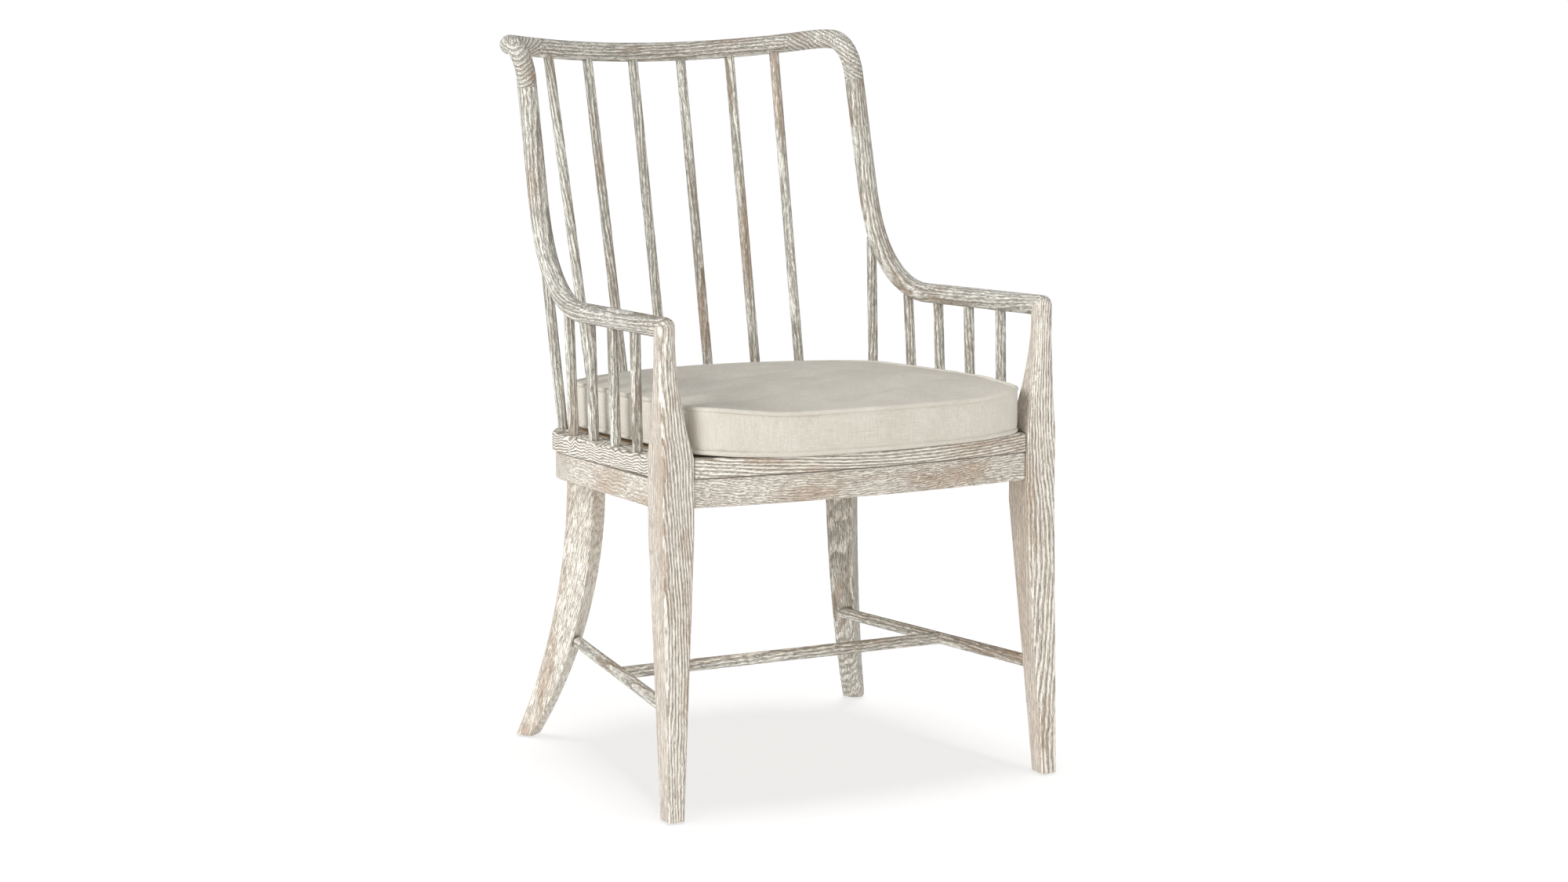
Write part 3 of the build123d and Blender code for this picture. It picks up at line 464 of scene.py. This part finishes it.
WELT_RADIUS = 0.0034
WELT_DEPTH = 0.0048
WELT_SIDES = 12
WELT_PUCKER = 0.07
PUCKERS_PER_METRE = 55.0
EDGE_LIFT = 0.0020
TOP_SEAM = 0.5362
BOTTOM_SEAM = 0.4808
CUSHION_REST = 0.4726
WALL_LEVEL = 0.5385
WALL_BAND = 0.0012
OUTLINE_POINTS = 420
VOXEL = 0.005
CROWN = 0.0135
WALL_SWELL = 0.0030

# The seat rim's front edge, which the cushion hangs over
RIM_TOP = 0.4714
RIM_ROUNDING = 0.005
RIM_NOSE = -0.3398
RIM_BOW_RADIUS = 1.2412

# The sag of the cushion's front edge: where it starts, and where its corners hold it up
FRONT_DROOP = 0.0137
FRONT_REACH = 0.0065
SAG_DEPTHS = (0.19, 0.31)
SAG_MIDDLE = 0.02
SAG_HALF_WIDTHS = (0.13, 0.27)
CORNER_HOLD = 0.85

# Oblique folds and slow billows in the top
FOLD_ANGLE = 0.33
FOLD_SPACING = 0.066
FOLD_PHASE = 1.0
FOLD_DEPTH = 0.0050
FOLD_MARGIN = (0.02, 0.09)
BILLOW = 0.0022
BILLOWS_PER_METRE = 7.0

SIMULATED_FRAMES = 20
STUFFING = {"quality": 5, "mass": 0.3, "tension_stiffness": 15.0, "compression_stiffness": 15.0,
            "shear_stiffness": 8.0, "bending_stiffness": 1.0, "use_pressure": True,
            "uniform_pressure_force": 14.0}


def evenly_spaced(points, count):
    """A closed outline resampled at equal steps."""
    closed = np.vstack([points, points[:1]])
    travel = np.concatenate([[0.0], np.cumsum(np.linalg.norm(np.diff(closed, axis=0), axis=1))])
    wanted = np.linspace(0.0, travel[-1], count, endpoint=False)
    return np.column_stack([np.interp(wanted, travel, closed[:, axis]) for axis in range(2)])


def smoothed(outline, rounds):
    for _ in range(rounds):
        neighbours = np.roll(outline, 1, axis=0) + np.roll(outline, -1, axis=0)
        outline = 0.5 * outline + 0.25 * neighbours
    return outline


def outward(outline):
    """Unit normals that point out of a counter-clockwise outline."""
    along = np.roll(outline, -1, axis=0) - np.roll(outline, 1, axis=0)
    normals = np.column_stack([along[:, 1], -along[:, 0]])
    return normals / np.linalg.norm(normals, axis=1, keepdims=True)


def cushion_outline():
    """Plan of the loose cushion's side wall, counter-clockwise, read from its CAD solid."""
    corners = positions(nodes["cushion"].data)
    wall = corners[np.abs(level(corners) - WALL_LEVEL) < WALL_BAND][:, :2]
    centre = wall.mean(0)
    order = np.argsort(np.arctan2(wall[:, 1] - centre[1], wall[:, 0] - centre[0]))
    return smoothed(evenly_spaced(wall[order], OUTLINE_POINTS), 6)


def at_level(outline, height):
    """The outline laid on the sloping seat level of the given height."""
    return np.column_stack([outline, height - (outline[:, 1] - SEAT_FRONT) * SEAT_FALL])


def smooth_shaded(mesh):
    mesh.polygons.foreach_set("use_smooth", [True] * len(mesh.polygons))


def new_piece(name, vertices, faces, material):
    mesh = bpy.data.meshes.new(name)
    mesh.from_pydata([tuple(vertex) for vertex in vertices], [], faces)
    mesh.update()
    piece = bpy.data.objects.new(name, mesh)
    bpy.context.scene.collection.objects.link(piece)
    mesh.materials.append(material)
    smooth_shaded(mesh)
    return piece


def place_vertices(mesh, points):
    mesh.vertices.foreach_set("co", points.ravel())
    mesh.update()


def distance_to(outline, points):
    """Plan distance from each point to the nearest outline point."""
    batch = 4000
    nearest = np.empty(len(points))
    for start in range(0, len(points), batch):
        apart = points[start:start + batch, None, :2] - outline[None, :, :]
        nearest[start:start + batch] = np.linalg.norm(apart, axis=2).min(1)
    return nearest


def smooth_step(value, low, high):
    share = np.clip((value - low) / (high - low), 0.0, 1.0)
    return share * share * (3.0 - 2.0 * share)


def settled(points):
    """The points after the front of the cushion has sagged forward over the seat rim."""
    towards_corner = smooth_step(np.abs(points[:, 0] - SAG_MIDDLE), *SAG_HALF_WIDTHS)
    share = smooth_step(-points[:, 1], *SAG_DEPTHS) * (1.0 - CORNER_HOLD * towards_corner)
    points[:, 2] -= FRONT_DROOP * share
    points[:, 1] -= FRONT_REACH * share
    return points


def raised_off_the_rim(points, clearance):
    """The points lifted clear of the seat and of the rim's rounded front edge."""
    bow = RIM_BOW_RADIUS - np.sqrt(RIM_BOW_RADIUS ** 2 - points[:, 0] ** 2)
    behind_face = points[:, 1] - (RIM_NOSE + bow)
    reach = RIM_ROUNDING + clearance
    before_flat = np.clip(RIM_ROUNDING - behind_face, 0.0, reach)
    wanted = RIM_TOP - RIM_ROUNDING + np.sqrt(reach ** 2 - before_flat ** 2)
    lift = np.where(before_flat < reach, np.maximum(wanted - level(points), 0.0), 0.0)
    points[:, 2] += lift
    return points


def evaluated(piece):
    return piece.evaluated_get(bpy.context.evaluated_depsgraph_get())


def swollen(piece, seam_outline):
    """The piece's points after its stuffing has swelled it between pinned seams."""
    base = positions(piece.data)
    heights = level(base)
    near_top_seam = np.abs(heights - TOP_SEAM - EDGE_LIFT)
    near_seam = np.minimum(near_top_seam, np.abs(heights - BOTTOM_SEAM))
    from_edge = distance_to(seam_outline, base)
    pinned = np.where((from_edge < VOXEL) & (near_seam < 0.6 * VOXEL))[0]
    group = piece.vertex_groups.new(name="seams")
    group.add([int(index) for index in pinned], 1.0, "REPLACE")
    cloth = piece.modifiers.new("stuffing", "CLOTH")
    for name, value in STUFFING.items():
        setattr(cloth.settings, name, value)
    cloth.settings.effector_weights.gravity = 0.0
    cloth.settings.vertex_group_mass = group.name
    cloth.collision_settings.use_collision = False
    scene = bpy.context.scene
    for step in range(1, SIMULATED_FRAMES + 1):
        scene.frame_set(step)
    moved = positions(evaluated(piece).data)
    piece.modifiers.remove(cloth)
    piece.vertex_groups.remove(group)
    scene.frame_set(1)
    return moved


def remeshed(piece):
    """The piece with its flat faces cut into small, even ones."""
    remesh = piece.modifiers.new("remesh", "REMESH")
    remesh.mode = "VOXEL"
    remesh.voxel_size = VOXEL
    mesh = bpy.data.meshes.new_from_object(evaluated(piece))
    piece.modifiers.remove(remesh)
    piece.data = mesh
    smooth_shaded(mesh)
    return piece


def near_level(heights, seam):
    """Share by which points are up at a seam's level or past it."""
    return smooth_step(heights, seam - 0.002, seam - 0.0005)


def cushion_body(outline, material):
    """The box cushion: a flat slab between its seams, swelled by its stuffing."""
    inner = outline - outward(outline) * WELT_RADIUS
    count = len(inner)
    corners = np.vstack([at_level(inner, BOTTOM_SEAM), at_level(inner, TOP_SEAM + EDGE_LIFT)])
    faces = [tuple(range(count - 1, -1, -1)), tuple(range(count, 2 * count))]
    faces += [(i, (i + 1) % count, count + (i + 1) % count, count + i) for i in range(count)]
    piece = remeshed(new_piece("cushion_body", corners, faces, material))

    base = positions(piece.data)
    heights = level(base)
    from_edge = distance_to(inner, base)
    on_top = near_level(heights, TOP_SEAM + EDGE_LIFT)
    on_bottom = near_level(-heights, -BOTTOM_SEAM)
    up = np.array([0.0, sin(SEAT_SLOPE), cos(SEAT_SLOPE)])
    moved = swollen(piece, inner)
    shift = moved - base
    reach = np.linalg.norm(shift, axis=1)
    cap = WALL_SWELL + (CROWN - WALL_SWELL) * np.maximum(on_top, on_bottom)
    allowed = cap * np.tanh(reach / cap)
    shift *= (allowed / np.maximum(reach, 1e-9))[:, None]
    points = base + shift

    across_folds = points[:, 1] * cos(FOLD_ANGLE) - points[:, 0] * sin(FOLD_ANGLE)
    folds = 0.5 + 0.5 * np.sin(tau * across_folds / FOLD_SPACING + FOLD_PHASE)
    wander = np.array([noise.noise(Vector((x * BILLOWS_PER_METRE, y * BILLOWS_PER_METRE, 2.0)))
                       for x, y, _ in points])
    inside = on_top * smooth_step(from_edge, *FOLD_MARGIN)
    dips = FOLD_DEPTH * folds ** 3 * np.maximum(0.7 + 1.5 * wander, 0.0)
    points += (inside * (BILLOW * wander - dips))[:, None] * up
    place_vertices(piece.data, raised_off_the_rim(settled(points), CUSHION_REST - RIM_TOP))
    finer = piece.modifiers.new("finer", "SUBSURF")
    finer.levels = 1
    finer.render_levels = 1
    return piece


def welt(name, outline, height, material):
    """The piping sewn into one seam: a soft tube all round the cushion."""
    centre = settled(at_level(outline - outward(outline) * WELT_DEPTH, height))
    centre = smoothed(raised_off_the_rim(centre, WELT_RADIUS), 10)
    vertices = []
    for (x, y, z), (normal_x, normal_y) in zip(centre, outward(outline)):
        pucker = noise.noise(Vector((x * PUCKERS_PER_METRE, y * PUCKERS_PER_METRE, height * 90.0)))
        radius = WELT_RADIUS * (1.0 + WELT_PUCKER * pucker)
        for step in range(WELT_SIDES):
            turn = tau * step / WELT_SIDES
            reach = radius * cos(turn)
            vertices.append((x + normal_x * reach, y + normal_y * reach, z + radius * sin(turn)))
    faces = []
    for i in range(len(centre)):
        ring = i * WELT_SIDES
        next_ring = (i + 1) % len(centre) * WELT_SIDES
        for j in range(WELT_SIDES):
            k = (j + 1) % WELT_SIDES
            faces.append((ring + j, next_ring + j, next_ring + k, ring + k))
    return new_piece(name, vertices, faces, material)


YARN_FINE = 1300.0
YARN_LONG = 40.0
CLOTH_DARK = (0.565, 0.525, 0.45, 1)
CLOTH_LIGHT = (0.715, 0.675, 0.60, 1)
STITCH_AND_SHADE_TONE = (0.38, 0.32, 0.25, 1)
STITCH_AND_SHADE_SHARE = 0.3


def linen():
    """Plain-weave linen with uneven yarns."""
    material, graph, shader = new_material("linen", 0.92)
    place = graph.object_place()
    flat = graph.spread(graph.facing("Z"), 0.6, 0.75)
    sideways = graph.spread(graph.facing("X"), 0.6, 0.75)
    along_x = graph.noise(place, (YARN_LONG, YARN_FINE, YARN_FINE), 2.0, 0.6)
    along_y = graph.noise(place, (YARN_FINE, YARN_LONG, YARN_FINE), 2.0, 0.6)
    upright = graph.noise(place, (YARN_FINE, YARN_FINE, YARN_LONG), 2.0, 0.6)
    weft = graph.mix(flat, graph.mix(sideways, along_x, along_y), along_x)
    warp = graph.mix(flat, upright, along_y)
    slubs = graph.weighted((weft, 0.5), (warp, 0.5))
    mottle = graph.noise(place, (18.0, 18.0, 18.0))
    tone = graph.weighted((slubs, 0.8), (mottle, 0.2))
    colour = graph.mix(graph.spread(tone, 0.36, 0.64), CLOTH_DARK, CLOTH_LIGHT)
    # Stitch tone and painted shade: the cloth darkens in the creases along the seams and wherever nearby
    # surfaces enclose it.
    stitch_and_crease_shade = graph.spread(graph.occlusion(0.004), 0.60, 0.22)
    colour = graph.mix(graph.times(stitch_and_crease_shade, STITCH_AND_SHADE_SHARE), colour, STITCH_AND_SHADE_TONE)
    graph.feed(shader.inputs["Base Color"], colour)
    graph.feed(shader.inputs["Roughness"], graph.plus(graph.times(slubs, 0.2), 0.8))
    graph.feed(shader.inputs["Normal"], graph.bump(slubs, 0.0007, 0.6))
    shader.inputs["Specular IOR Level"].default_value = 0.15
    shader.inputs["Sheen Weight"].default_value = 0.06
    shader.inputs["Sheen Roughness"].default_value = 0.5
    return material


def loose_cushion():
    material = linen()
    outline = cushion_outline()
    body = cushion_body(outline, material)
    top = welt("cushion_top_welt", outline, TOP_SEAM, material)
    bottom = welt("cushion_bottom_welt", outline, BOTTOM_SEAM, material)
    for piece in (body, top, bottom):
        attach(piece, "cushion")
    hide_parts("cushion")


# ---------------------------------------------------------------- camera and light

CAMERA_PLACE = Vector((-2.0662, -4.1386, 1.1540))
CAMERA_TARGET = Vector((0.0, -0.0839, 0.4452))
CAMERA_LENS = 77.41
SKY = 0.35
SKY_COLOUR = (0.97, 0.985, 1.0, 1)
FLOOR_ALBEDO = 0.45
FLOOR_GLOW = 0.68
FLOOR_SIZE = 200.0
OVERHEAD = {"direction": (0.0, 0.0, -1.0), "spread": 20, "strength": 0.44, "colour": (1, 1, 1)}
KEY = {"direction": (0.86, 0.12, -0.5), "spread": 40, "strength": 0.74, "colour": (0.98, 0.99, 1.0)}
FRONT = {"direction": (0.1, 0.94, -0.32), "spread": 60, "strength": 0.40, "colour": (1.0, 0.99, 0.97)}


def camera():
    data = bpy.data.cameras.new("camera")
    data.lens = CAMERA_LENS
    data.clip_end = 50.0
    item = bpy.data.objects.new("camera", data)
    item.location = CAMERA_PLACE
    item.rotation_euler = (CAMERA_TARGET - CAMERA_PLACE).to_track_quat("-Z", "Y").to_euler()
    bpy.context.scene.collection.objects.link(item)
    bpy.context.scene.camera = item


def soft_sun(name, direction, spread, strength, colour):
    """A wide, distant light shining along a direction."""
    data = bpy.data.lights.new(name, "SUN")
    data.angle = radians(spread)
    data.energy = strength * pi
    data.color = colour
    item = bpy.data.objects.new(name, data)
    item.rotation_euler = Vector(direction).to_track_quat("-Z", "Y").to_euler()
    bpy.context.scene.collection.objects.link(item)
    return item


def surroundings():
    """A white backdrop that lights the object less than it shows."""
    world = bpy.data.worlds.new("studio")
    bpy.context.scene.world = world
    world.use_nodes = True
    world.node_tree.nodes.clear()
    graph = Graph(world.node_tree)
    seen = graph.add("ShaderNodeBackground")
    graph.feed(seen.inputs["Color"], (1, 1, 1, 1))
    lighting = graph.add("ShaderNodeBackground")
    graph.feed(lighting.inputs["Color"], SKY_COLOUR)
    graph.feed(lighting.inputs["Strength"], SKY)
    chooser = graph.add("ShaderNodeMixShader")
    graph.feed(chooser.inputs[0], graph.add("ShaderNodeLightPath").outputs["Is Camera Ray"])
    graph.feed(chooser.inputs[1], lighting.outputs[0])
    graph.feed(chooser.inputs[2], seen.outputs[0])
    output = graph.add("ShaderNodeOutputWorld")
    graph.feed(output.inputs["Surface"], chooser.outputs[0])


def studio(floor_object):
    """Soft lights high on the left and in front, and one overhead that only the floor takes."""
    surroundings()
    on_floor = bpy.data.collections.new("on_floor")
    on_floor.objects.link(floor_object)
    soft_sun("overhead", **OVERHEAD).light_linking.receiver_collection = on_floor
    off_floor = bpy.data.collections.new("off_floor")
    off_floor.objects.link(floor_object)
    off_floor.collection_objects[0].light_linking.link_state = "EXCLUDE"
    soft_sun("key", **KEY).light_linking.receiver_collection = off_floor
    soft_sun("front", **FRONT).light_linking.receiver_collection = off_floor


def floor():
    """A plain pale floor that runs out to the background's white."""
    bpy.ops.mesh.primitive_plane_add(size=FLOOR_SIZE, location=(0, 0, 0))
    item = bpy.context.object
    item.name = "floor"
    material, _, shader = new_material("floor", 0.9)
    shader.inputs["Base Color"].default_value = (FLOOR_ALBEDO, FLOOR_ALBEDO, FLOOR_ALBEDO, 1)
    shader.inputs["Specular IOR Level"].default_value = 0.0
    shader.inputs["Emission Color"].default_value = (1, 1, 1, 1)
    shader.inputs["Emission Strength"].default_value = FLOOR_GLOW
    item.data.materials.append(material)
    return item


# ---------------------------------------------------------------- how each piece looks


def look(*values):
    """A value for each of the oak's inputs, in the order of LOOK_INPUTS."""
    return dict(zip(LOOK_INPUTS, values))


# The last value in each look is the painted light wash on faces turned along X.
LEG = look(0.15, 330.0, 0.22, 0.03, 0.05, 0.35, 1.0)
WAVY = look(1.0, 300.0, 0.36, 0.01, 0.3, 0.35, 0.0)
FINE_WAVY = look(0.45, 430.0, 0.11, 0.04, 0.0, 0.3, 0.4)
REEDED = look(0.05, 250.0, 0.27, 0.02, 0.05, 0.4, 0.0)
PALE = look(0.15, 420.0, 0.05, 0.07, 0.0, 0.15, 1.0)
# The rear right leg's look is greyer wood and also painted shade, darker because that leg stands in shade.
GREYED_AND_SHADED = look(0.15, 420.0, 0.10, 0.0, 0.6, 0.6, 0.0)
ROUND = look(0.2, 210.0, 0.10, 0.03, 0.85, 0.9, 0.0)
LOOKS = {"seat_rim_left": WAVY, "seat_rim_right": WAVY, "seat_rim_back": WAVY, "seat_rim_front": REEDED,
         "side_apron_left": FINE_WAVY, "side_apron_right": FINE_WAVY, "front_apron": FINE_WAVY,
         "back_apron": FINE_WAVY, "rear_leg_left": PALE, "rear_leg_right": GREYED_AND_SHADED}
ROUND_PIECES = ("crest", "back_stile", "back_spindle", "arm", "side_stretcher", "cross_stretcher")
HIDDEN = {"seat_panel", "corner_blocks", "corner_block_screws", "seat_dowels", "frame_dowels", "foot_glides",
          "cushion"}


def look_of(name):
    """The figure of a piece: round bent pieces are greyer than the legs and rails."""
    return LOOKS.get(name, ROUND if name.startswith(ROUND_PIECES) else LEG)


def paint(name, material):
    node = nodes[name]
    if not node.material_slots:
        node.data.materials.append(material)
    for item in node.material_slots:
        item.material = material


# ---------------------------------------------------------------- putting it together

bpy.context.scene.view_settings.view_transform = "Standard"
camera()
studio(floor())

oak = limed_oak_group()
for name in sorted(set(nodes) - HIDDEN):
    paint(name, limed_oak(oak, name, look_of(name)))
paint("seat_panel", plain_wood("plywood", BIRCH_LIGHT, BIRCH_DARK, (14.0, 240.0, 240.0), 0.4, 0.6))
paint("corner_blocks", plain_wood("block_wood", BLOCK_LIGHT, BLOCK_DARK, (12.0, 260.0, 260.0), 0.5))
beech = plain_wood("dowel_beech", BEECH_LIGHT, BEECH_DARK, (260.0, 260.0, 12.0), 0.5)
paint("seat_dowels", beech)
paint("frame_dowels", beech)
paint("corner_block_screws", zinc_steel())
paint("foot_glides", nylon())

loose_cushion()
